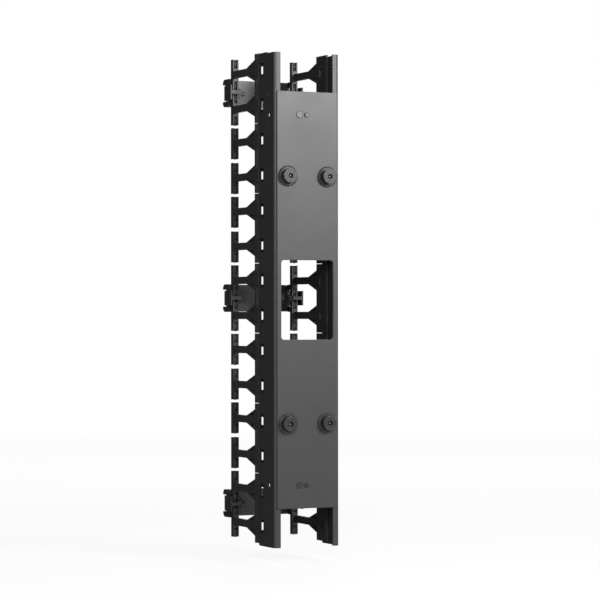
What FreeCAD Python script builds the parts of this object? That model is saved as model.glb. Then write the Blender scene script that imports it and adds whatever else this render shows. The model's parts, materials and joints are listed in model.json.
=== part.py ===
import FreeCAD, Part
import math
import os
import Sketcher

# Vertical cable manager: a folded steel channel, fourteen units high, with
# moulded finger modules down both flanges, cover brackets across the front
# and a plate with four button studs on its back.
# Frame: origin at the centre of the button pattern, in the plane of the button
# heads' inner faces, which hold the rack's sheet. X runs across the channel, Y
# from the rack towards the fingers, Z up. Each body is drawn with Y from the
# plate's outer face, and its Placement moves it to the frame.

SIZES = {
    # channel
    "channel_height": 622.3,
    "channel_width": 91,
    "flange_depth": 45,
    "channel_gauge": 2,
    "bend_radius": 4,
    "notch_depth": 51,
    "window_height": 100,
    "window_width": 73,
    "land_height": 55.15,
    "window_radius": 4,
    "slot_height": 17.5,
    "slot_depth": 13.5,
    "slot_margin": 1.5,
    "slot_radius": 1.5,
    # fastener holes of the channel
    "hole_group_inset": 27.15,
    "hole_group_depth": 16,
    "main_hole": 6,
    "side_hole": 3.6,
    "near_hole_pitch": 10.3,
    "far_hole_pitch": 25.7,
    "rivet_offset": 11,
    "screw_offset": 1,
    "spare_offset": 14,
    # mounting plate and its studs
    "plate_gauge": 2,
    "plate_width": 84,
    "plate_lap": 2.15,
    "plate_radius": 3,
    "stud_pitch_across": 55,
    "stud_pitch_up": 311.15,
    "stud_head": 19,
    "stud_head_height": 3.6,
    "stud_neck": 11,
    "stud_neck_height": 3.2,
    "stud_flange": 26,
    "stud_flange_height": 2.8,
    "stud_edge": 0.8,
    "stud_shank": 8,
    "stud_length": 12.5,
    "stud_socket": 6,
    "stud_socket_depth": 1.7,
    "nut_across": 13,
    "nut_height": 6.5,
    "washer_width": 17,
    "washer_height": 1.6,
    "screw_width": 3,
    "screw_head": 6.4,
    "screw_head_height": 1.6,
    "screw_length": 7,
    "clinch_nut_width": 7,
    "clinch_nut_height": 3,
    "rivet_width": 6,
    "rivet_head": 9,
    "rivet_head_height": 0.9,
    # finger modules
    "unit_pitch": 44.45,
    "module_rise": 2.4,
    "module_gap": 0.8,
    "finger_pitch": 45.1,
    "finger_lift": 0.6,
    "finger_stand": 0.9,
    "spine_nose": 12,
    "spine_leg": 18,
    "leg_thickness": 2.3,
    "groove_depth": 1.6,
    "groove_back": 1.4,
    "bead_width": 5.5,
    "root_height": 18,
    "hook_width": 5.5,
    "hook_tip": 1,
    "hook_margin": 1,
    "light_rear": 7.7,
    "light_front": 2.1,
    "light_height": 10,
    "flare_height": 26.4,
    "flare_length": 24.5,
    "flare_rim": 1.6,
    "recess_depth": 1.5,
    "stem_height": 9.4,
    "stem_thickness": 4.5,
    "finger_reach": 130.6,
    "bar_height": 40.1,
    "bar_width": 8,
    "bar_depth": 7.6,
    "bar_web": 3,
    "bar_lip": 1.7,
    "bar_radius": 1,
    "bar_root": 17,
    # cover brackets
    "bracket_gauge": 2,
    "bracket_height": 35,
    "bracket_setback": 2,
    "bracket_tab": 3,
    "tab_height": 30,
    "bracket_ear": 5.5,
    "ear_height": 19,
    # side clips
    "clip_reach": 149.5,
    "clip_height": 36,
    "clip_thickness": 6.3,
    "clip_stand": 3.5,
    "clip_round": 6,
    "fork_depth": 16,
    "slit_height": 1.5,
    "tongue_gauge": 2,
    "tongue_stand": 6.5,
    "tongue_height": 19,
    "tongue_length": 18.8,
    "tongue_rear": 5.4,
    "key_height": 4.4,
    "key_overhang": 1.4,
    # turn knobs
    "knob_inset": 14.5,
    "knob_span": 13,
    "knob_arm": 3.4,
    "knob_height": 8,
    "knob_disc": 11.5,
    "knob_disc_height": 2,
    "knob_shaft": 6.5,
    "knob_square": 4,
    "index_offset": 9.4,
    "index_width": 3,
    "index_height": 6.2,
    "index_depth": 0.9,
    "cam_length": 13,
    "cam_width": 6.4,
    "cam_height": 3,
    # clearances
    "sheet_clearance": 0.2,
    "shaft_clearance": 0.05,
    "moving_clearance": 0.3,
}

MODULES_PER_SIDE = 7
FINGERS = 2 * MODULES_PER_SIDE
STATION_MODULES = {1: "bottom", 4: "middle", 7: "top"}
OVERCUT = 1
SIDES = {"left": -1, "right": 1}


class Size:
    """A length that carries its value in millimetres and its expression."""

    def __init__(self, value, text):
        self.value = float(value)
        self.text = text

    def __add__(self, other):
        other = as_size(other)
        return Size(self.value + other.value, f"({self.text} + {other.text})")

    def __sub__(self, other):
        other = as_size(other)
        return Size(self.value - other.value, f"({self.text} - {other.text})")

    def __mul__(self, other):
        other = as_size(other)
        return Size(self.value * other.value, f"({self.text} * {other.text})")

    def __truediv__(self, other):
        other = as_size(other)
        return Size(self.value / other.value, f"({self.text} / {other.text})")

    def __neg__(self):
        return self * -1

    def __rmul__(self, other):
        return self * other


def as_size(number):
    """A plain number as a Size, and a Size as itself."""
    if isinstance(number, Size):
        return number
    return Size(number, f"({float(number)})")


def make_sheet(doc):
    """The spreadsheet of driving sizes, and the same sizes by name."""
    sheet = doc.addObject("Spreadsheet::Sheet", "sizes")
    named = {}
    for row, (name, value) in enumerate(SIZES.items(), start=1):
        sheet.set(f"A{row}", name)
        sheet.set(f"B{row}", str(value))
        sheet.setAlias(f"B{row}", name)
        named[name] = Size(value, f"sizes.{name}")
    doc.recompute()
    return named


doc = FreeCAD.newDocument("vertical_cable_manager")
S = make_sheet(doc)
subparts = []

# Places worked out from the driving sizes

half_width = S["channel_width"] / 2
half_height = S["channel_height"] / 2
web_back = S["plate_gauge"]
web_front = web_back + S["channel_gauge"]
flange_front = web_back + S["flange_depth"]
slot_front = flange_front - S["slot_margin"]
slot_rear = slot_front - S["slot_depth"]
module_length = S["unit_pitch"] * 2 - S["module_gap"]
leg_outer = half_width - S["channel_gauge"] - S["sheet_clearance"]
leg_inner = leg_outer - S["leg_thickness"]
leg_rear = flange_front - S["spine_leg"]
edge_front = flange_front + S["sheet_clearance"]
spine_front = flange_front + S["spine_nose"]
finger_outer = half_width + S["finger_stand"]
bar_front = web_back + S["finger_reach"]
bar_rear = bar_front - S["bar_depth"]
bar_inner = finger_outer - S["bar_width"]
clip_front = web_back + S["clip_reach"]
clip_outer = half_width + S["clip_stand"]
clip_inner = clip_outer - S["clip_thickness"]
clip_rear = bar_front + S["sheet_clearance"] / 2
fork_rear = clip_front - S["fork_depth"]
tongue_outer = half_width + S["tongue_stand"]
tongue_inner = tongue_outer - S["tongue_gauge"]
tongue_rear = bar_rear - S["tongue_rear"]
bracket_front = clip_front - S["bracket_setback"]
bracket_rear = bracket_front - S["bracket_gauge"]
bracket_end = clip_inner - S["sheet_clearance"]
knob_place = half_width - S["knob_inset"]
half_pitch = S["unit_pitch"] / 2
stud_x = S["stud_pitch_across"] / 2
stud_z = S["stud_pitch_up"] / 2
notch_floor = half_height - S["notch_depth"]
window_pitch = notch_floor - S["land_height"] - S["window_height"] / 2
group_z = notch_floor - S["hole_group_inset"]
plate_height = (notch_floor + S["plate_lap"]) * 2
shaft_hole = S["knob_shaft"] / 2 + S["shaft_clearance"]
seat = S["stud_flange_height"] + S["stud_neck_height"]


def module_height(index):
    """Height of the centre of module 1 to 7, counted from the bottom."""
    steps = index - (MODULES_PER_SIDE + 1) / 2
    return S["module_rise"] + S["unit_pitch"] * 2 * steps


def station_height(index):
    """Height of the gap between a module's two fingers."""
    return module_height(index) + S["finger_lift"]


def place(item, x, z):
    """Move a sub-part by its Placement, tied to the sheet."""
    for axis, size in (("x", x), ("y", seat), ("z", z)):
        item.setExpression(f"Placement.Base.{axis}", as_size(size).text)


def new_body(name):
    """An empty body whose Label names its file."""
    body = doc.addObject("PartDesign::Body", name)
    body.Label = name
    place(body, 0, 0)
    subparts.append(body)
    return body


def origin_feature(body, role):
    """An origin plane or axis of the body."""
    for feature in body.Origin.OriginFeatures:
        if feature.Role == role:
            return feature
    raise ValueError(role)


def new_sketch(body, name, role, lift=None):
    """A sketch on an origin plane, lifted along the plane's normal."""
    sketch = body.newObject("Sketcher::SketchObject", name)
    sketch.AttachmentSupport = (origin_feature(body, role), "")
    sketch.MapMode = "FlatFace"
    if lift is not None:
        offset = FreeCAD.Vector(0, 0, lift.value)
        sketch.AttachmentOffset = FreeCAD.Placement(offset, FreeCAD.Rotation())
        sketch.setExpression("AttachmentOffset.Base.z", lift.text)
    return sketch


def bind(sketch, constraint, size):
    """Add a constraint and tie its value to an expression."""
    index = sketch.addConstraint(constraint)
    sketch.setExpression(f"Constraints[{index}]", size.text)


def fix_point(sketch, geometry, position, x, y):
    """Hold a point of the sketch at x and y from its origin."""
    bind(sketch, Sketcher.Constraint("DistanceX", -1, 1, geometry, position, x.value), x)
    bind(sketch, Sketcher.Constraint("DistanceY", -1, 1, geometry, position, y.value), y)


def draw_circle(sketch, x, y, radius):
    """A circle held by its centre and radius."""
    x, y, radius = as_size(x), as_size(y), as_size(radius)
    centre = FreeCAD.Vector(x.value, y.value, 0)
    circle = Part.Circle(centre, FreeCAD.Vector(0, 0, 1), radius.value)
    index = sketch.addGeometry(circle, False)
    bind(sketch, Sketcher.Constraint("Radius", index, radius.value), radius)
    fix_point(sketch, index, 3, x, y)


def draw_outline(sketch, corners):
    """A closed outline of straight sides.

    Each corner is (x, y) or (x, y, radius), and a radius rounds the corner.
    """
    corners = [tuple(as_size(v) for v in corner) for corner in corners]
    count = len(corners)
    points = [FreeCAD.Vector(c[0].value, c[1].value, 0) for c in corners]
    starts, ends, arcs = [], [], []
    for i, corner in enumerate(corners):
        if len(corner) == 2:
            starts.append(points[i])
            ends.append(points[i])
            arcs.append(None)
            continue
        back = (points[i - 1] - points[i]).normalize()
        ahead = (points[(i + 1) % count] - points[i]).normalize()
        half_angle = back.getAngle(ahead) / 2
        reach = corner[2].value / math.tan(half_angle)
        first = points[i] + back * reach
        last = points[i] + ahead * reach
        middle = (back + ahead).normalize()
        centre = points[i] + middle * (corner[2].value / math.sin(half_angle))
        ends.append(first)
        starts.append(last)
        arcs.append((centre, first, last, back.cross(ahead).z < 0))
    lines = []
    for i in range(count):
        segment = Part.LineSegment(starts[i], ends[(i + 1) % count])
        lines.append(sketch.addGeometry(segment, False))
    for i, corner in enumerate(corners):
        before, after = lines[i - 1], lines[i]
        if arcs[i] is None:
            sketch.addConstraint(Sketcher.Constraint("Coincident", before, 2, after, 1))
            fix_point(sketch, after, 1, corner[0], corner[1])
            continue
        centre, first, last, left_turn = arcs[i]
        lead, trail = (first, last) if left_turn else (last, first)
        circle = Part.Circle(centre, FreeCAD.Vector(0, 0, 1), corner[2].value)
        angle_lead = math.atan2(lead.y - centre.y, lead.x - centre.x)
        angle_trail = math.atan2(trail.y - centre.y, trail.x - centre.x)
        arc = sketch.addGeometry(Part.ArcOfCircle(circle, angle_lead, angle_trail), False)
        point = sketch.addGeometry(Part.Point(points[i]), True)
        end_before, end_after = (1, 2) if left_turn else (2, 1)
        sketch.addConstraint(Sketcher.Constraint("Tangent", before, 2, arc, end_before))
        sketch.addConstraint(Sketcher.Constraint("Tangent", after, 1, arc, end_after))
        sketch.addConstraint(Sketcher.Constraint("PointOnObject", point, 1, before))
        sketch.addConstraint(Sketcher.Constraint("PointOnObject", point, 1, after))
        bind(sketch, Sketcher.Constraint("Radius", arc, corner[2].value), corner[2])
        fix_point(sketch, point, 1, corner[0], corner[1])


def draw_box(sketch, x, y, width, height, radius=None):
    """A rectangle about x and y, with rounded corners where a radius is given."""
    x, y = as_size(x), as_size(y)
    across, up = as_size(width) / 2, as_size(height) / 2
    tail = () if radius is None else (radius,)
    draw_outline(sketch, [(x - across, y - up) + tail, (x + across, y - up) + tail,
                          (x + across, y + up) + tail, (x - across, y + up) + tail])


def draw_hexagon(sketch, x, y, across):
    """A hexagon with two flat sides upright, held by its corners."""
    x, y = as_size(x), as_size(y)
    long = across / math.sqrt(3)
    half = across / 2
    draw_outline(sketch, [(x, y - long), (x + half, y - long / 2), (x + half, y + long / 2),
                          (x, y + long), (x - half, y + long / 2), (x - half, y - long / 2)])


def volume_of(body):
    """Volume after a recompute."""
    doc.recompute()
    return body.Shape.Volume


def pad(body, sketch, length, flip=False, symmetric=False):
    """Pad a sketch along its normal, against it, or both ways."""
    feature = body.newObject("PartDesign::Pad", sketch.Name + "_pad")
    feature.Profile = sketch
    feature.SideType = "Symmetric" if symmetric else "One side"
    feature.Reversed = flip
    feature.Length = as_size(length).value
    feature.setExpression("Length", as_size(length).text)
    return feature


def pocket(body, sketch, depth=None, flip=False):
    """Cut a sketch to a depth behind its plane, or right through both ways."""
    before = volume_of(body)
    feature = body.newObject("PartDesign::Pocket", sketch.Name + "_pocket")
    feature.Profile = sketch
    if depth is None:
        feature.SideType = "Symmetric"
        feature.Type = "ThroughAll"
    else:
        feature.SideType = "One side"
        feature.Reversed = flip
        feature.Length = as_size(depth).value
        feature.setExpression("Length", as_size(depth).text)
    if volume_of(body) >= before:
        raise ValueError(feature.Name + " cuts nothing")
    return feature


def revolve(body, sketch):
    """A full turn of a sketch about its own vertical axis."""
    feature = body.newObject("PartDesign::Revolution", sketch.Name + "_turned")
    feature.Profile = sketch
    feature.ReferenceAxis = (sketch, ["V_Axis"])
    feature.Angle = 360
    return feature


def pattern(body, originals, axis, count, pitch):
    """Repeat features along a body axis."""
    feature = body.newObject("PartDesign::LinearPattern", originals[0].Name + "_row")
    feature.Originals = originals
    feature.Direction = (origin_feature(body, axis), [""])
    feature.Mode = "Spacing"
    feature.Occurrences = count
    feature.Offset = pitch.value
    feature.setExpression("Offset", pitch.text)
    body.Tip = feature
    return feature


def repeat(source, name):
    """One more copy of a sub-part, as a link with its own Label and Placement."""
    link = doc.addObject("App::Link", name)
    link.LinkedObject = source
    link.LinkTransform = False
    link.Label = name
    subparts.append(link)
    return link


def make_channel():
    """The folded channel: web with notches and windows, slotted flanges."""
    body = new_body("channel")
    inner = half_width - S["channel_gauge"]
    inside = S["bend_radius"] - S["channel_gauge"]
    section = new_sketch(body, "channel_section", "XY_Plane")
    draw_outline(section, [
        (-half_width, flange_front),
        (-half_width, web_back, S["bend_radius"]),
        (half_width, web_back, S["bend_radius"]),
        (half_width, flange_front),
        (inner, flange_front),
        (inner, web_front, inside),
        (-inner, web_front, inside),
        (-inner, flange_front),
    ])
    pad(body, section, S["channel_height"], symmetric=True)

    windows = new_sketch(body, "web_window", "XZ_Plane")
    draw_box(windows, 0, -window_pitch, S["window_width"], S["window_height"], S["window_radius"])
    cut = pocket(body, windows)
    pattern(body, [cut], "Z_Axis", 3, window_pitch)

    notch = new_sketch(body, "end_notch", "XZ_Plane")
    draw_box(notch, 0, -half_height, S["window_width"], S["notch_depth"] * 2, S["window_radius"])
    cut = pocket(body, notch)
    pattern(body, [cut], "Z_Axis", 2, S["channel_height"])

    slot = new_sketch(body, "finger_slot", "YZ_Plane")
    lowest = module_height(1) - half_pitch
    draw_box(slot, (slot_rear + slot_front) / 2, lowest, S["slot_depth"], S["slot_height"], S["slot_radius"])
    cut = pocket(body, slot)
    pattern(body, [cut], "Z_Axis", FINGERS, S["unit_pitch"])

    group = new_sketch(body, "flange_holes", "YZ_Plane")
    depth = web_back + S["hole_group_depth"]
    draw_circle(group, depth, -group_z, S["main_hole"] / 2)
    for step in (S["near_hole_pitch"], S["far_hole_pitch"]):
        draw_circle(group, depth, -group_z - step, S["side_hole"] / 2)
        draw_circle(group, depth, -group_z + step, S["side_hole"] / 2)
    cut = pocket(body, group)
    pattern(body, [cut], "Z_Axis", 2, group_z * 2)

    holes = new_sketch(body, "web_holes", "XZ_Plane")
    draw_circle(holes, -S["rivet_offset"], -group_z, S["main_hole"] / 2)
    draw_circle(holes, -S["screw_offset"], -group_z, S["screw_width"] / 2 + S["sheet_clearance"])
    draw_circle(holes, S["spare_offset"], -group_z, S["side_hole"] / 2)
    cut = pocket(body, holes)
    pattern(body, [cut], "Z_Axis", 2, group_z * 2)


def make_plate():
    """The mounting plate, flat on the web's back."""
    body = new_body("mounting_plate")
    outline = new_sketch(body, "plate_outline", "XZ_Plane")
    draw_box(outline, 0, 0, S["plate_width"], plate_height, S["plate_radius"])
    pad(body, outline, S["plate_gauge"], flip=True)
    window = new_sketch(body, "plate_window", "XZ_Plane")
    draw_box(window, 0, 0, S["window_width"], S["window_height"], S["window_radius"])
    pocket(body, window)
    holes = new_sketch(body, "plate_holes", "XZ_Plane")
    for up in (-1, 1):
        draw_circle(holes, -stud_x, stud_z * up, S["stud_shank"] / 2 + S["sheet_clearance"])
        draw_circle(holes, stud_x, stud_z * up, S["stud_shank"] / 2 + S["sheet_clearance"])
        draw_circle(holes, -S["screw_offset"], group_z * up, S["screw_width"] / 2 + S["sheet_clearance"])
        draw_circle(holes, -S["rivet_offset"], group_z * up, S["main_hole"] / 2)
    pocket(body, holes)


def make_studs():
    """Four turned button studs with a hex socket, one body and three copies."""
    neck_rear = -S["stud_flange_height"]
    head_front = neck_rear - S["stud_neck_height"]
    head_rear = head_front - S["stud_head_height"]
    edge = S["stud_edge"]
    body = new_body("mounting_stud_lower_left")
    profile = new_sketch(body, "stud_profile", "XY_Plane")
    flange, head = S["stud_flange"] / 2, S["stud_head"] / 2
    neck, shank = S["stud_neck"] / 2, S["stud_shank"] / 2
    draw_outline(profile, [
        (0, S["stud_length"]),
        (shank - edge, S["stud_length"]),
        (shank, S["stud_length"] - edge),
        (shank, 0),
        (flange, 0),
        (flange, -S["stud_flange_height"] / 2),
        (flange - edge * 2, neck_rear),
        (neck, neck_rear),
        (neck, head_front),
        (head, head_front),
        (head, head_rear, edge),
        (0, head_rear),
    ])
    revolve(body, profile)
    socket = new_sketch(body, "stud_socket", "XZ_Plane", -head_rear)
    draw_hexagon(socket, 0, 0, S["stud_socket"])
    pocket(body, socket, S["stud_socket_depth"])
    place(body, -stud_x, -stud_z)
    for up, across in (("lower", "right"), ("upper", "left"), ("upper", "right")):
        copy = repeat(body, f"mounting_stud_{up}_{across}")
        rise = stud_z if up == "upper" else -stud_z
        place(copy, stud_x * SIDES[across], rise)


def make_ring_group(name, across, rear, height, bore, places, hexagon=False):
    """A group of equal nuts or washers, each a solid of its own."""
    body = new_body(name)
    body.AllowCompound = True
    sketch = new_sketch(body, name + "_outline", "XZ_Plane", -rear)
    for x, z in places:
        if hexagon:
            draw_hexagon(sketch, x, z, across)
        else:
            draw_circle(sketch, x, z, across / 2)
        draw_circle(sketch, x, z, bore)
    pad(body, sketch, height, flip=True)


def make_headed_group(name, x, shank, head, head_height, length, head_round):
    """Two equal screws or rivets, at the plate's top and bottom end."""
    body = new_body(name)
    body.AllowCompound = True
    sketch = new_sketch(body, name + "_profile", "XY_Plane")
    draw_outline(sketch, [
        (0, length),
        (shank, length),
        (shank, 0),
        (head, 0),
        (head, -head_height, head_round),
        (0, -head_height),
    ])
    feature = revolve(body, sketch)
    place(body, x, -group_z)
    pattern(body, [feature], "Z_Axis", 2, group_z * 2)


def make_fasteners():
    """Nuts, washers, plate screws, their clinch nuts and the plate rivets."""
    bore = S["stud_shank"] / 2
    studs = [(stud_x * across, stud_z * up) for across in (-1, 1) for up in (-1, 1)]
    screws = [(-S["screw_offset"], group_z * up) for up in (-1, 1)]
    make_ring_group("stud_washers", S["washer_width"], web_back, S["washer_height"], bore, studs)
    make_ring_group("stud_nuts", S["nut_across"], web_back + S["washer_height"], S["nut_height"], bore,
                    studs, hexagon=True)
    make_ring_group("clinch_nuts", S["clinch_nut_width"], web_front, S["clinch_nut_height"],
                    S["screw_width"] / 2, screws)
    make_headed_group("plate_screws", -S["screw_offset"], S["screw_width"] / 2, S["screw_head"] / 2,
                      S["screw_head_height"], S["screw_length"], S["screw_head_height"] / 2)
    make_headed_group("plate_rivets", -S["rivet_offset"], S["rivet_width"] / 2, S["rivet_head"] / 2,
                      S["rivet_head_height"], web_front, S["rivet_head_height"] / 2)


def make_finger_module(name, side):
    """One moulded module with two T-ended fingers.

    The spine clips over the flange's front edge, and a hook at each finger
    fills the front of a flange slot. The lower finger is drawn, and a row of
    two makes the upper one.
    """
    body = new_body(name)
    outer = finger_outer * side
    groove = (half_width - S["groove_depth"]) * side
    outside, inside = leg_outer * side, leg_inner * side
    groove_rear = edge_front + S["groove_back"]
    bead_rear = spine_front - S["bead_width"]

    spine = new_sketch(body, name + "_spine", "XY_Plane")
    draw_outline(spine, [
        (inside, leg_rear),
        (outside, leg_rear),
        (outside, edge_front),
        (outer, edge_front),
        (outer, groove_rear),
        (groove, groove_rear),
        (groove, bead_rear),
        (outer, bead_rear),
        (outer, spine_front, S["bar_radius"]),
        (inside, spine_front, S["bar_radius"]),
    ])
    pad(body, spine, module_length, symmetric=True)

    def side_pad(sketch_name, corners, near, far):
        """Pad a side profile from one distance from the middle to another."""
        sketch = new_sketch(body, f"{name}_{sketch_name}", "YZ_Plane", near * side)
        draw_outline(sketch, corners)
        return pad(body, sketch, far - near, flip=side < 0)

    light = new_sketch(body, name + "_light", "YZ_Plane", inside)
    light_rear = flange_front - S["light_rear"]
    light_front = flange_front + S["light_front"]
    draw_box(light, (light_rear + light_front) / 2, -half_pitch, light_front - light_rear, S["light_height"])
    light_cut = pocket(body, light, S["leg_thickness"], flip=side > 0)

    hook_front = slot_front - S["sheet_clearance"]
    hook = new_sketch(body, name + "_hook", "XY_Plane", -half_pitch)
    draw_outline(hook, [
        (outside, hook_front),
        (outside, hook_front - S["hook_tip"]),
        (half_width * side, hook_front - S["hook_width"]),
        (half_width * side, hook_front),
    ])
    hook_pad = pad(body, hook, S["slot_height"] - S["hook_margin"] * 2, symmetric=True)

    level = S["finger_lift"] - S["finger_pitch"] / 2
    root_top = level + S["root_height"] / 2
    root_bottom = level - S["root_height"] / 2
    root = side_pad("root", [(edge_front, root_bottom), (bead_rear, root_bottom), (bead_rear, root_top),
                             (edge_front, root_top)], half_width - S["groove_depth"], finger_outer)

    stem_top = level + S["stem_height"] / 2
    stem_bottom = level - S["stem_height"] / 2
    flare_top = level + S["flare_height"] / 2
    flare_bottom = level - S["flare_height"] / 2
    flare_front = spine_front + S["flare_length"]
    arm_rear = spine_front - S["bead_width"] / 2
    arm_front = bar_front - S["bar_web"]
    arm_inner = finger_outer - S["stem_thickness"]
    arm = side_pad("arm", [
        (arm_rear, flare_bottom),
        (spine_front, flare_bottom),
        (flare_front, stem_bottom),
        (arm_front, stem_bottom),
        (arm_front, stem_top),
        (flare_front, stem_top),
        (spine_front, flare_top),
        (arm_rear, flare_top),
    ], arm_inner, finger_outer)

    rim = S["flare_rim"]
    slope = (S["flare_height"] - S["stem_height"]) / S["flare_length"] / 2
    recess_rear = spine_front + rim
    tip = recess_rear + (S["flare_height"] / 2 - rim * 2.5 - S["stem_height"] / 2) / slope
    cuts = []
    for up, half in ((1, "upper"), (-1, "lower")):
        low = level + (S["stem_height"] / 2 + rim / 2) * up
        high = level + (S["flare_height"] / 2 - rim * 2) * up
        for face, lift in (("outer", finger_outer), ("inner", arm_inner)):
            recess = new_sketch(body, f"{name}_{half}_{face}_recess", "YZ_Plane", lift * side)
            draw_outline(recess, [(recess_rear, low), (tip, low), (recess_rear, high)])
            inwards = (face == "outer") == (side < 0)
            cuts.append(pocket(body, recess, S["recess_depth"], flip=inwards))

    bar = new_sketch(body, name + "_bar", "XY_Plane", level)
    lip_outer = (finger_outer - S["bar_lip"]) * side
    lip_inner = (bar_inner + S["bar_lip"]) * side
    draw_outline(bar, [
        (outer, bar_rear),
        (outer, bar_front, S["bar_radius"]),
        (bar_inner * side, bar_front, S["bar_radius"]),
        (bar_inner * side, bar_rear),
        (lip_inner, bar_rear),
        (lip_inner, arm_front),
        (lip_outer, arm_front),
        (lip_outer, bar_rear),
    ])
    bar_pad = pad(body, bar, S["bar_height"], symmetric=True)
    fill = new_sketch(body, name + "_bar_root", "XY_Plane", level)
    middle = (lip_outer + lip_inner) / 2
    draw_box(fill, middle, (bar_rear + arm_front) / 2, S["bar_width"] - S["bar_lip"], arm_front - bar_rear)
    fill_pad = pad(body, fill, S["bar_root"], symmetric=True)

    pattern(body, [light_cut, hook_pad], "Z_Axis", 2, S["unit_pitch"])
    pattern(body, [root, arm] + cuts + [bar_pad, fill_pad], "Z_Axis", 2, S["finger_pitch"])
    return body


def make_finger_modules():
    """Seven modules down each flange: one body a side, and its copies."""
    for side_name, side in SIDES.items():
        source = make_finger_module(f"finger_module_{side_name}_1", side)
        place(source, 0, module_height(1))
        for index in range(2, MODULES_PER_SIDE + 1):
            place(repeat(source, f"finger_module_{side_name}_{index}"), 0, module_height(index))


def repeat_at_stations(source, across=0):
    """Place the bottom sub-part, and its copies at the other two brackets."""
    for index, level in STATION_MODULES.items():
        item = source
        if level != "bottom":
            item = repeat(source, source.Label.replace("bottom", level))
        place(item, across, station_height(index))


def make_bracket():
    """A steel plate across the front, held by its ends in the side clips."""
    body = new_body("cover_bracket_bottom")
    half, tab, ear = S["bracket_height"] / 2, S["tab_height"] / 2, S["ear_height"] / 2
    end, tab_end, ear_end = bracket_end, bracket_end + S["bracket_tab"], bracket_end + S["bracket_ear"]
    right = [(end, -half), (end, -tab), (tab_end, -tab), (tab_end, -ear), (ear_end, -ear),
             (ear_end, ear), (tab_end, ear), (tab_end, tab), (end, tab), (end, half)]
    left = [(-x, z) for x, z in reversed(right)]
    plate = new_sketch(body, "bracket_outline", "XZ_Plane", -bracket_rear)
    draw_outline(plate, right + left)
    pad(body, plate, S["bracket_gauge"], flip=True)
    holes = new_sketch(body, "bracket_holes", "XZ_Plane")
    marks = new_sketch(body, "bracket_marks", "XZ_Plane", -bracket_rear)
    for side in SIDES.values():
        draw_circle(holes, knob_place * side, 0, shaft_hole)
        draw_box(marks, (knob_place - S["index_offset"]) * side, 0, S["index_width"], S["index_height"])
    pocket(body, holes)
    pocket(body, marks, S["index_depth"])
    repeat_at_stations(body)


def pocket_up(body, sketch, height):
    """Cut a level sketch both ways, to a full height about its plane."""
    before = volume_of(body)
    feature = body.newObject("PartDesign::Pocket", sketch.Name + "_pocket")
    feature.Profile = sketch
    feature.SideType = "Symmetric"
    feature.Length = height.value
    feature.setExpression("Length", height.text)
    if volume_of(body) >= before:
        raise ValueError(feature.Name + " cuts nothing")


def make_side_clip(side_name, side):
    """A moulded clip in front of the bars.

    Two rounded lobes hold the bracket's ends, a tongue reaches back outside
    the bars, and a key passes between their ends.
    """
    name = f"side_clip_bottom_{side_name}"
    body = new_body(name)
    half = S["clip_height"] / 2
    slit = S["tongue_height"] / 2 + S["slit_height"]
    outline = new_sketch(body, name + "_outline", "YZ_Plane", clip_inner * side)
    draw_outline(outline, [
        (clip_rear, -half),
        (clip_front, -half, S["clip_round"]),
        (clip_front, -slit),
        (fork_rear, -slit),
        (fork_rear, slit),
        (clip_front, slit),
        (clip_front, half, S["clip_round"]),
        (clip_rear, half),
    ])
    pad(body, outline, S["clip_thickness"], flip=side < 0)

    groove = new_sketch(body, name + "_groove", "XY_Plane")
    reach = S["bracket_tab"] + OVERCUT
    room = S["bracket_gauge"] + S["sheet_clearance"]
    draw_box(groove, (clip_inner + (S["bracket_tab"] - OVERCUT) / 2) * side, (bracket_front + bracket_rear) / 2,
             reach, room)
    pocket_up(body, groove, S["tab_height"] + S["sheet_clearance"])

    tongue = new_sketch(body, name + "_tongue", "XY_Plane")
    tongue_front = tongue_rear + S["tongue_length"]
    draw_outline(tongue, [
        (tongue_inner * side, tongue_rear),
        (tongue_outer * side, tongue_rear),
        (tongue_outer * side, tongue_front),
        (tongue_inner * side, tongue_front),
        (tongue_inner * side, fork_rear),
        ((clip_outer - OVERCUT) * side, fork_rear),
        ((clip_outer - OVERCUT) * side, clip_rear),
        (tongue_inner * side, clip_rear),
    ])
    pad(body, tongue, S["tongue_height"], symmetric=True)

    key = new_sketch(body, name + "_key", "XY_Plane")
    key_end = bar_inner - S["key_overhang"]
    draw_outline(key, [
        (key_end * side, tongue_rear),
        ((tongue_inner + OVERCUT) * side, tongue_rear),
        ((tongue_inner + OVERCUT) * side, clip_rear + OVERCUT),
        (clip_inner * side, clip_rear + OVERCUT),
        (clip_inner * side, bar_rear),
        (key_end * side, bar_rear),
    ])
    pad(body, key, S["key_height"], symmetric=True)
    repeat_at_stations(body)


def make_knob(side_name, side):
    """A quarter-turn knob: cross grip, disc, shaft and square end."""
    name = f"latch_knob_bottom_{side_name}"
    body = new_body(name)
    disc_front = bracket_rear - S["moving_clearance"]
    disc_rear = disc_front - S["knob_disc_height"]
    shaft_front = bracket_front + S["moving_clearance"]
    disc = new_sketch(body, name + "_disc", "XZ_Plane", -disc_front)
    draw_circle(disc, 0, 0, S["knob_disc"] / 2)
    pad(body, disc, S["knob_disc_height"])
    grip = new_sketch(body, name + "_grip", "XZ_Plane", -disc_rear)
    arm, span = S["knob_arm"] / 2, S["knob_span"] / 2
    draw_outline(grip, [
        (-arm, -span), (arm, -span), (arm, -arm), (span, -arm), (span, arm), (arm, arm),
        (arm, span), (-arm, span), (-arm, arm), (-span, arm), (-span, -arm), (-arm, -arm),
    ])
    pad(body, grip, S["knob_height"])
    shaft = new_sketch(body, name + "_shaft", "XZ_Plane", -disc_front)
    draw_circle(shaft, 0, 0, S["knob_shaft"] / 2)
    pad(body, shaft, shaft_front - disc_front, flip=True)
    square = new_sketch(body, name + "_square", "XZ_Plane", -shaft_front)
    draw_box(square, 0, 0, S["knob_square"], S["knob_square"])
    pad(body, square, S["cam_height"], flip=True)
    repeat_at_stations(body, knob_place * side)


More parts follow.
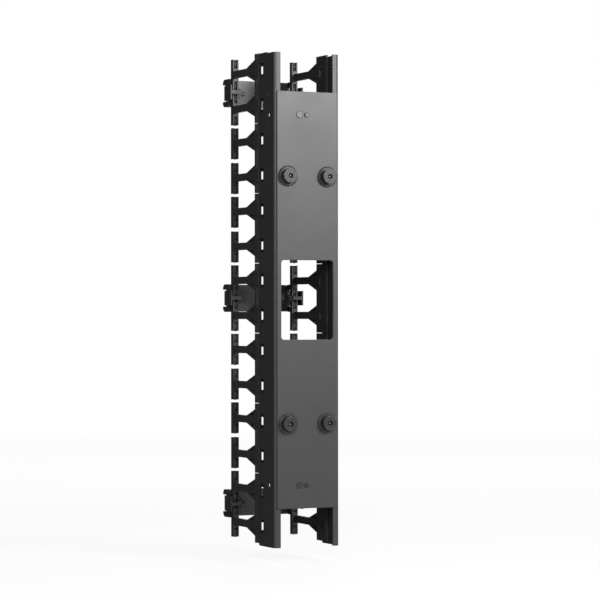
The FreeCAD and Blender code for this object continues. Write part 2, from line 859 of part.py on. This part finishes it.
def make_cam(side_name, side):
    """The cam on the knob's square end, in front of the bracket."""
    name = f"latch_cam_bottom_{side_name}"
    body = new_body(name)
    sketch = new_sketch(body, name + "_outline", "XZ_Plane", -(bracket_front + S["moving_clearance"]))
    draw_box(sketch, 0, 0, S["cam_length"], S["cam_width"], S["cam_width"] / 4)
    draw_box(sketch, 0, 0, S["knob_square"], S["knob_square"])
    pad(body, sketch, S["cam_height"], flip=True)
    repeat_at_stations(body, knob_place * side)


def make_stations():
    """Bracket, side clips, knobs and cams at each of the three brackets."""
    make_bracket()
    for side_name, side in SIDES.items():
        make_side_clip(side_name, side)
        make_knob(side_name, side)
        make_cam(side_name, side)


def check_model():
    """Stop where an object failed or a sub-part is not a valid solid."""
    for item in doc.Objects:
        if "Invalid" in item.State or "Error" in item.State:
            raise ValueError(f"{item.Label} failed: {item.State}")
    for item in subparts:
        shape = Part.getShape(item)
        if shape.isNull() or not shape.isValid() or not shape.Solids:
            raise ValueError(f"{item.Label} has no valid solid")


def write_parts():
    """Write each sub-part's shape to its own file."""
    os.makedirs("parts", exist_ok=True)
    for item in subparts:
        shape = Part.getShape(item)
        shape.exportStep(f"parts/{item.Label}.step")
        print(item.Label, len(shape.Solids), round(shape.Volume, 1))


make_channel()
make_plate()
make_studs()
make_fasteners()
make_finger_modules()
make_stations()
doc.recompute()
check_model()
write_parts()
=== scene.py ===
"""Looks of the vertical cable manager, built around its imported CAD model.

Everything is in metres, in the CAD's frame: X across the channel, Y from the
rack towards the fingers, Z up.
"""
import json
import math

import bmesh
import bpy
from mathutils import Matrix, Vector


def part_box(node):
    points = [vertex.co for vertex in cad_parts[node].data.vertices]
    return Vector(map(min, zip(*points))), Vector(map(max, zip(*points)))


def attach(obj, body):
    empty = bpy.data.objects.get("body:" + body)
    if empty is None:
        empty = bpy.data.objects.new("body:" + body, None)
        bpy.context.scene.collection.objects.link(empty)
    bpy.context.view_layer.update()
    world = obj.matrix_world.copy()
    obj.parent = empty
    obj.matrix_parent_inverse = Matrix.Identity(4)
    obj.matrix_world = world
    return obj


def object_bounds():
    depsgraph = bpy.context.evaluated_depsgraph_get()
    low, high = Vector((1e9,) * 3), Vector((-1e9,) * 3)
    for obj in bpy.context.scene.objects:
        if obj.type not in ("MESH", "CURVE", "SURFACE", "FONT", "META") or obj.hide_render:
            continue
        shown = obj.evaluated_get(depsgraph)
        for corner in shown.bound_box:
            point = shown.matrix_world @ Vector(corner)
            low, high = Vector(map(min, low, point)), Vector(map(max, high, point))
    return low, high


MM = 0.001
LEVELS = ("lower", "upper")
SIDES = ("left", "right")

# camera, from the photograph
CAMERA_PLACE = Vector((-1.3937, -2.8585, -0.0170))
CAMERA_YAW = 25.774
CAMERA_RISE = 0.304
CAMERA_ROLL = 0.051
CAMERA_NEAR = 0.05
CAMERA_FAR = 200
SENSOR_WIDTH = 36
FOCAL_LENGTH = 151.76

# finish, and how it changes on faces that look along X: painted shade darkens their colour, and they are
# rougher and shine less
BEVEL_SAMPLES = 6
SIDE_START = 0.75
SIDE_END = 0.98
SIDE_ROUGHNESS = 0.56
# painted shade: the grey that darkens the colour of faces that look along X
SIDE_PAINTED_SHADE = 0.4
SIDE_SHINE = 0.52

# studio
BACKDROP_WHITE = 1.0
AMBIENT = 0.12
FLOOR_DROP = 0.02
FLOOR_SIZE = 60
FLOOR_COLOUR = 0.82
FLOOR_ROUGHNESS = 0.9
FLOOR_FADE = (1.0, 4.0)
SHADOW_SHARE = 0.12
FLOOR_GLOW = (BACKDROP_WHITE - SHADOW_SHARE * FLOOR_COLOUR * AMBIENT) / (1 - SHADOW_SHARE)

# thread of the studs and of the plate's screws
THREAD_STEPS = 24
THREAD_DEPTH = 0.35 * MM
THREAD_FLANK = 0.4
THREAD_LEAD = 0.3 * MM
RUN_OUT_STEPS = THREAD_STEPS / 2
RUN_OUT_SHARE = 0.9
STUD_RADIUS = 4.0 * MM
STUD_PITCH = 1.25 * MM
SCREW_RADIUS = 1.5 * MM
SCREW_PITCH = 0.5 * MM

# painted shade: a dark disc on the floor of each stud's socket, with a painted highlight at its centre
SOCKET_DEPTH = 1.7 * MM
SOCKET_RADIUS = 2.9 * MM
HIGHLIGHT_RADIUS = 1.1 * MM
HIGHLIGHT_TIP = HIGHLIGHT_RADIUS / 3
DISC_HEIGHT = 0.3 * MM
DISC_RISE = DISC_HEIGHT / 4
DISC_STEPS = 32

# rib in the back of each T-bar
MODULES = 7
BAR_STEP = 45.1 * MM
BAR_HEIGHT = 40.1 * MM
BAR_WIDTH = 8 * MM
BAR_LIP = 1.7 * MM
BAR_WEB = 3 * MM
RIB_ROOT = 17 * MM
RIB_GAP = 0.3 * MM
RIB_DEPTH = 4.1 * MM
RIB_EDGE = 0.6 * MM
RIB_EDGE_STEPS = 3


def add_node(tree, kind, **settings):
    """A shader node with its named inputs or properties set."""
    node = tree.nodes.new(kind)
    for key, value in settings.items():
        if key in node.inputs:
            node.inputs[key].default_value = value
        else:
            setattr(node, key, value)
    return node


def new_material(name):
    """A new material, its tree and its Principled shader."""
    material = bpy.data.materials.new(name)
    material.use_nodes = True
    return material, material.node_tree, material.node_tree.nodes["Principled BSDF"]


def grey(value, tint=(1, 1, 1)):
    """A linear grey with a slight tint."""
    return (value * tint[0], value * tint[1], value * tint[2], 1)


def noise(tree, size, detail=2, roughness=0.5, stretch=None):
    """Noise whose grains are about that many metres across."""
    place = tree.nodes.new("ShaderNodeTexCoord")
    vector = place.outputs["Object"]
    if stretch is not None:
        mapping = tree.nodes.new("ShaderNodeMapping")
        mapping.inputs["Scale"].default_value = stretch
        tree.links.new(vector, mapping.inputs["Vector"])
        vector = mapping.outputs["Vector"]
    node = add_node(tree, "ShaderNodeTexNoise", Scale=1 / size, Detail=detail, Roughness=roughness)
    tree.links.new(vector, node.inputs["Vector"])
    return node.outputs["Fac"]


def spread(tree, value, low, high, start=0.3, end=0.7):
    """A value from start to end, remapped to run from low to high."""
    node = tree.nodes.new("ShaderNodeMapRange")
    node.inputs["From Min"].default_value = start
    node.inputs["From Max"].default_value = end
    node.inputs["To Min"].default_value = low
    node.inputs["To Max"].default_value = high
    tree.links.new(value, node.inputs["Value"])
    return node.outputs["Result"]


def blend_colours(tree, value, dark, light, start=0.3, end=0.7):
    """A colour between two, by a value."""
    ramp = tree.nodes.new("ShaderNodeValToRGB")
    ramp.color_ramp.elements[0].position = start
    ramp.color_ramp.elements[0].color = dark
    ramp.color_ramp.elements[1].position = end
    ramp.color_ramp.elements[1].color = light
    tree.links.new(value, ramp.inputs["Fac"])
    return ramp.outputs["Color"]


def soften(tree, shader, height, strength, distance, edge):
    """Bump on the shader, over edges eased to a small radius."""
    bevel = add_node(tree, "ShaderNodeBevel", Radius=edge)
    bevel.samples = BEVEL_SAMPLES
    bump = add_node(tree, "ShaderNodeBump", Strength=strength, Distance=distance)
    tree.links.new(height, bump.inputs["Height"])
    tree.links.new(bevel.outputs["Normal"], bump.inputs["Normal"])
    tree.links.new(bump.outputs["Normal"], shader.inputs["Normal"])


def paint_side_shade(tree, shader, shine, colour, rough):
    """Painted shade on faces that look along X: take shine off them, and return a darker colour and a
    rougher roughness for them.
    """
    place = tree.nodes.new("ShaderNodeTexCoord")
    parts = tree.nodes.new("ShaderNodeSeparateXYZ")
    tree.links.new(place.outputs["Normal"], parts.inputs["Vector"])
    across = add_node(tree, "ShaderNodeMath", operation="ABSOLUTE")
    tree.links.new(parts.outputs["X"], across.inputs[0])
    side = spread(tree, across.outputs[0], 0, 1, start=SIDE_START, end=SIDE_END)
    # painted shade: the colour of faces that look along X is multiplied by a grey to darken them
    painted_shade = add_node(tree, "ShaderNodeMix", data_type="RGBA", blend_type="MULTIPLY")
    painted_shade.inputs["B"].default_value = grey(SIDE_PAINTED_SHADE)
    tree.links.new(side, painted_shade.inputs["Factor"])
    tree.links.new(colour, painted_shade.inputs["A"])
    rougher = add_node(tree, "ShaderNodeMath", operation="MULTIPLY_ADD")
    rougher.inputs[1].default_value = SIDE_ROUGHNESS
    tree.links.new(side, rougher.inputs[0])
    tree.links.new(rough, rougher.inputs[2])
    duller = spread(tree, side, shine, shine * SIDE_SHINE, start=0, end=1)
    tree.links.new(duller, shader.inputs["Specular IOR Level"])
    return painted_shade.outputs["Result"], rougher.outputs[0]


def powder_coat(name, value, shine, painted_side_shade=False):
    """Fine-textured black powder coat: grainy, with small light specks."""
    material, tree, shader = new_material(name)
    grain = noise(tree, size=0.9 * MM, detail=4, roughness=0.65)
    cloud = noise(tree, size=60 * MM)
    dark, light = grey(value * 0.72), grey(value * 1.5)
    colour = blend_colours(tree, grain, dark, light, start=0.35, end=0.72)
    rough = spread(tree, cloud, low=0.4, high=0.45)
    shader.inputs["Specular IOR Level"].default_value = shine
    # when this option is set, faces that look along X get painted shade, more roughness and less shine
    if painted_side_shade:
        colour, rough = paint_side_shade(tree, shader, shine, colour, rough)
    tree.links.new(colour, shader.inputs["Base Color"])
    tree.links.new(rough, shader.inputs["Roughness"])
    soften(tree, shader, grain, strength=0.55, distance=0.12 * MM, edge=0.9 * MM)
    return material


def moulded_plastic(name, value, rough, shine):
    """Black moulded plastic with a fine eroded texture and faint flow marks, and painted shade on faces
    that look along X.
    """
    material, tree, shader = new_material(name)
    grain = noise(tree, size=0.45 * MM, detail=3, roughness=0.6)
    flow = noise(tree, size=14 * MM, detail=3, stretch=(1, 0.35, 1))
    dark, light = grey(value * 0.8), grey(value * 1.3, tint=(1, 1, 1.03))
    colour = blend_colours(tree, flow, dark, light)
    # painted shade: the colour of faces that look along X is darkened
    colour, roughness = paint_side_shade(tree, shader, shine, colour, spread(tree, flow, *rough))
    tree.links.new(colour, shader.inputs["Base Color"])
    tree.links.new(roughness, shader.inputs["Roughness"])
    soften(tree, shader, grain, strength=0.3, distance=0.05 * MM, edge=0.4 * MM)
    return material


def black_oxide(name, value, shine):
    """Turned steel, chemically blackened: satin, with fine tool marks."""
    material, tree, shader = new_material(name)
    marks = noise(tree, size=0.5 * MM, detail=3, roughness=0.6, stretch=(0.4, 3, 0.4))
    stain = noise(tree, size=5 * MM, detail=3)
    dark, light = grey(value * 0.75), grey(value * 1.35, tint=(1.02, 1, 0.98))
    tree.links.new(blend_colours(tree, stain, dark, light), shader.inputs["Base Color"])
    tree.links.new(spread(tree, marks, low=0.24, high=0.36), shader.inputs["Roughness"])
    shader.inputs["Specular IOR Level"].default_value = shine
    soften(tree, shader, marks, strength=0.25, distance=0.03 * MM, edge=0.4 * MM)
    return material


def zinc_plate(name):
    """Bright zinc plate with a faint bluish cast and dull patches."""
    material, tree, shader = new_material(name)
    patch = noise(tree, size=3 * MM, detail=4)
    fine = noise(tree, size=0.3 * MM)
    dark, light = grey(0.5, tint=(0.97, 0.99, 1.03)), grey(0.66, tint=(1.01, 1, 0.97))
    tree.links.new(blend_colours(tree, patch, dark, light), shader.inputs["Base Color"])
    tree.links.new(spread(tree, patch, low=0.28, high=0.42), shader.inputs["Roughness"])
    shader.inputs["Metallic"].default_value = 1
    soften(tree, shader, fine, strength=0.2, distance=0.02 * MM, edge=0.25 * MM)
    return material


def dress_nodes(frame):
    """Give each CAD node the material of its slot in the record."""
    slots = {
        # the channel's faces that look along X, its flanges, get painted shade
        "channel_steel": powder_coat("channel_powder", value=0.028, shine=0.36, painted_side_shade=True),
        "plate_steel": powder_coat("plate_powder", value=0.024, shine=0.44),
        "bracket_steel": powder_coat("bracket_powder", value=0.034, shine=0.6),
        "stud_steel": black_oxide("stud_oxide", value=0.02, shine=0.32),
        "screw_steel": black_oxide("screw_oxide", value=0.02, shine=0.34),
        "zinc_steel": zinc_plate("zinc"),
        "finger_plastic": moulded_plastic("finger_plastic", value=0.035, rough=(0.36, 0.46), shine=0.25),
        "clip_plastic": moulded_plastic("clip_plastic", value=0.03, rough=(0.36, 0.46), shine=0.22),
        "knob_plastic": moulded_plastic("knob_plastic", value=0.02, rough=(0.32, 0.42), shine=0.25),
    }
    for part in frame["record"]["subparts"]:
        mesh = frame["nodes"][part["node"]].data
        mesh.materials.clear()
        mesh.materials.append(slots[part["material_slot"]])
    return slots


def finish_mesh(name, shape, smooth=True):
    """The mesh of a finished shape, shaded smooth or flat."""
    mesh = bpy.data.meshes.new(name)
    shape.to_mesh(mesh)
    shape.free()
    for face in mesh.polygons:
        face.use_smooth = smooth
    return mesh


def add_trim(name, mesh, place):
    """One small piece that rides on the frame, with the finish its mesh already carries."""
    piece = bpy.data.objects.new(name, mesh)
    piece.location = place
    bpy.context.scene.collection.objects.link(piece)
    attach(piece, "frame")


def thread_mesh(name, radius, pitch, length):
    """A helical ridge along +Y from the origin: the crest of a screw thread."""
    shape = bmesh.new()
    turns = length / pitch
    steps = round(turns * THREAD_STEPS)
    flank = pitch * THREAD_FLANK
    root = radius - THREAD_DEPTH
    rings = []
    for step in range(steps + 1):
        share = step / steps
        angle = 2 * math.pi * turns * share
        fade = min(1, step / RUN_OUT_STEPS, (steps - step) / RUN_OUT_STEPS)
        crest = radius + THREAD_DEPTH * (fade - 1) * RUN_OUT_SHARE
        along = length * share
        profile = ((root, along - flank), (crest, along), (root, along + flank))
        rings.append([shape.verts.new((r * math.cos(angle), y, r * math.sin(angle))) for r, y in profile])
    for back, ahead in zip(rings, rings[1:]):
        for i in range(3):
            j = (i + 1) % 3
            shape.faces.new((back[i], back[j], ahead[j], ahead[i]))
    shape.faces.new(rings[0])
    shape.faces.new(list(reversed(rings[-1])))
    bmesh.ops.recalc_face_normals(shape, faces=shape.faces)
    return finish_mesh(name, shape)


def add_stud_threads(material):
    """A thread on each of the four studs, from inside its nut to near its end."""
    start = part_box("stud_nuts")[1].y - STUD_PITCH
    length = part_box("mounting_stud_lower_left")[1].y - start - STUD_PITCH
    mesh = thread_mesh("stud_thread", STUD_RADIUS, STUD_PITCH, length)
    mesh.materials.append(material)
    for level in LEVELS:
        for side in SIDES:
            low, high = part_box(f"mounting_stud_{level}_{side}")
            centre = (low + high) / 2
            add_trim(f"stud_thread_{level}_{side}", mesh, (centre.x, start, centre.z))


def add_screw_threads(material):
    """A thread on each of the two plate screws, from inside its clinch nut."""
    low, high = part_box("plate_screws")
    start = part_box("clinch_nuts")[1].y - SCREW_PITCH
    length = max(high.y - start - THREAD_LEAD, SCREW_PITCH * 2)
    mesh = thread_mesh("screw_thread", SCREW_RADIUS, SCREW_PITCH, length)
    mesh.materials.append(material)
    across = (low.x + high.x) / 2
    head = (high.x - low.x) / 2
    for level, height in (("lower", low.z + head), ("upper", high.z - head)):
        add_trim(f"screw_thread_{level}", mesh, (across, start, height))


def disc_mesh(name, radius, tip):
    """A thin disc facing -Y at the origin, narrowed to the tip's radius."""
    shape = bmesh.new()
    turn = Matrix.Rotation(math.radians(-90), 4, "X")
    bmesh.ops.create_cone(shape, cap_ends=True, segments=DISC_STEPS, radius1=tip, radius2=radius,
                          depth=DISC_HEIGHT, matrix=turn)
    return finish_mesh(name, shape, smooth=False)


def add_socket_painted_shade():
    """Painted shade: dark discs on the floors of the studs' sockets, which stand for a deeper hole, each
    with a painted highlight at its centre.
    """
    floor = disc_mesh("socket_painted_shade", SOCKET_RADIUS, SOCKET_RADIUS)
    # painted shade: a near-black disc stands for the shade deep in the socket
    floor.materials.append(black_oxide("painted_socket_shade", value=0.004, shine=0.04))
    highlight_disc = disc_mesh("socket_painted_highlight", HIGHLIGHT_RADIUS, HIGHLIGHT_TIP)
    # painted highlight: a bright disc stands for the light spot at the socket's centre
    highlight_disc.materials.append(black_oxide("painted_socket_highlight", value=0.2, shine=0.4))
    for level in LEVELS:
        for side in SIDES:
            low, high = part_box(f"mounting_stud_{level}_{side}")
            centre = (low + high) / 2
            bottom = low.y + SOCKET_DEPTH
            shade_place = (centre.x, bottom - DISC_RISE, centre.z)
            highlight_place = (centre.x, bottom - DISC_HEIGHT, centre.z)
            add_trim(f"socket_painted_shade_{level}_{side}", floor, shade_place)
            add_trim(f"socket_mark_{level}_{side}", highlight_disc, highlight_place)


def rib_mesh():
    """Two ribs, above and below a T-bar's middle, with eased edges."""
    shape = bmesh.new()
    width = BAR_WIDTH - 2 * (BAR_LIP + RIB_GAP)
    length = (BAR_HEIGHT - RIB_ROOT) / 2 - RIB_GAP
    for up in (-1, 1):
        middle = (BAR_HEIGHT + RIB_ROOT) / 4 * up
        made = bmesh.ops.create_cube(shape, size=1)["verts"]
        bmesh.ops.scale(shape, verts=made, vec=(width, RIB_DEPTH, length))
        bmesh.ops.translate(shape, verts=made, vec=(0, 0, middle))
    edges = list(shape.edges)
    bmesh.ops.bevel(shape, geom=edges, offset=RIB_EDGE, segments=RIB_EDGE_STEPS, affect="EDGES")
    return finish_mesh("bar_rib", shape)


def add_ribs(material):
    """The moulded ribs in the backs of the T-bars, two bars to a module."""
    mesh = rib_mesh()
    mesh.materials.append(material)
    for side, sign in zip(SIDES, (-1, 1)):
        for module in range(1, MODULES + 1):
            low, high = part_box(f"finger_module_{side}_{module}")
            outer = high.x if sign > 0 else low.x
            across = outer - sign * BAR_WIDTH / 2
            along = high.y - BAR_WEB - RIB_DEPTH / 2 + RIB_GAP
            for level, up in zip(LEVELS, (-1, 1)):
                height = (low.z + high.z) / 2 + up * BAR_STEP / 2
                add_trim(f"bar_rib_{side}_{module}_{level}", mesh, (across, along, height))


def add_camera():
    """The photograph's viewpoint."""
    data = bpy.data.cameras.new("camera")
    data.sensor_width = SENSOR_WIDTH
    data.lens = FOCAL_LENGTH
    data.clip_start = CAMERA_NEAR
    data.clip_end = CAMERA_FAR
    camera = bpy.data.objects.new("camera", data)
    camera.location = CAMERA_PLACE
    angles = (90 + CAMERA_RISE, CAMERA_ROLL, -CAMERA_YAW)
    camera.rotation_euler = [math.radians(angle) for angle in angles]
    bpy.context.scene.collection.objects.link(camera)
    bpy.context.scene.camera = camera


def add_lamp(name, place, target, size, power):
    """A soft rectangular lamp aimed at a point."""
    data = bpy.data.lights.new(name, "AREA")
    data.shape = "RECTANGLE"
    data.size, data.size_y = size
    data.energy = power
    lamp = bpy.data.objects.new(name, data)
    lamp.location = place
    lamp.rotation_euler = (Vector(target) - Vector(place)).to_track_quat("-Z", "Y").to_euler()
    bpy.context.scene.collection.objects.link(lamp)


def seen_ray(tree):
    """1 for rays from the camera, off gloss and through glass."""
    path = tree.nodes.new("ShaderNodeLightPath")
    value = path.outputs["Is Camera Ray"]
    for kind in ("Is Glossy Ray", "Is Transmission Ray"):
        either = add_node(tree, "ShaderNodeMath", operation="MAXIMUM")
        tree.links.new(value, either.inputs[0])
        tree.links.new(path.outputs[kind], either.inputs[1])
        value = either.outputs[0]
    return value


def light_world():
    """White where it is seen, and a soft grey light for the object."""
    world = bpy.data.worlds.new("studio")
    bpy.context.scene.world = world
    world.use_nodes = True
    tree = world.node_tree
    background = tree.nodes["Background"]
    background.inputs["Color"].default_value = grey(1)
    strength = spread(tree, seen_ray(tree), AMBIENT, BACKDROP_WHITE, start=0, end=1)
    tree.links.new(strength, background.inputs["Strength"])


def add_floor(height):
    """A pale floor that looks white, with a faint shadow near the object."""
    half = FLOOR_SIZE / 2
    mesh = bpy.data.meshes.new("floor")
    corners = [(-half, -half, height), (half, -half, height), (half, half, height), (-half, half, height)]
    mesh.from_pydata(corners, [], [(0, 1, 2, 3)])
    floor = bpy.data.objects.new("floor", mesh)
    bpy.context.scene.collection.objects.link(floor)
    material, tree, shader = new_material("floor_white")
    shader.inputs["Base Color"].default_value = grey(FLOOR_COLOUR)
    shader.inputs["Roughness"].default_value = FLOOR_ROUGHNESS
    place = tree.nodes.new("ShaderNodeTexCoord")
    distance = add_node(tree, "ShaderNodeVectorMath", operation="LENGTH")
    tree.links.new(place.outputs["Object"], distance.inputs[0])
    glow = tree.nodes.new("ShaderNodeEmission")
    strength = spread(tree, distance.outputs["Value"], BACKDROP_WHITE, FLOOR_GLOW, *FLOOR_FADE)
    tree.links.new(strength, glow.inputs["Strength"])
    mix = tree.nodes.new("ShaderNodeMixShader")
    share = spread(tree, seen_ray(tree), 0, 1 - SHADOW_SHARE, start=0, end=1)
    tree.links.new(share, mix.inputs["Fac"])
    tree.links.new(shader.outputs["BSDF"], mix.inputs[1])
    tree.links.new(glow.outputs["Emission"], mix.inputs[2])
    tree.links.new(mix.outputs["Shader"], tree.nodes["Material Output"].inputs["Surface"])
    mesh.materials.append(material)


def light_studio(middle):
    """A key lamp above the plate, one along the bends and a soft one in front."""
    add_lamp("key", place=(0.60, -1.20, 0.56), target=(0, 0, 0.2), size=(0.45, 0.35), power=22)
    add_lamp("edge", place=(-0.65, -1.1, 0.55), target=(0, 0, 0.1), size=(0.25, 0.5), power=11)
    add_lamp("front", place=(0.9, 1.7, 1.3), target=middle, size=(1.2, 1.0), power=24)


bpy.context.scene.view_settings.view_transform = "Standard"
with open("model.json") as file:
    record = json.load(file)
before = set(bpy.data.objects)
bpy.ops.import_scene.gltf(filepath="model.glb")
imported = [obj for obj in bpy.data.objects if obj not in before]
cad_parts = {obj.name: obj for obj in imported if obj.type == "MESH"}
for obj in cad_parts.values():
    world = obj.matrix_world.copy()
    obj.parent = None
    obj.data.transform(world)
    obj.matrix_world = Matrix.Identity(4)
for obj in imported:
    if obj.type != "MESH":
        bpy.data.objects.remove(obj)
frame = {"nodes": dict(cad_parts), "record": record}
cad_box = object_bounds()
slots = dress_nodes(frame)
add_stud_threads(slots["stud_steel"])
add_screw_threads(slots["screw_steel"])
add_socket_painted_shade()
add_ribs(slots["finger_plastic"])
add_camera()
light_world()
add_floor(cad_box[0].z - FLOOR_DROP)
light_studio((cad_box[0] + cad_box[1]) / 2)
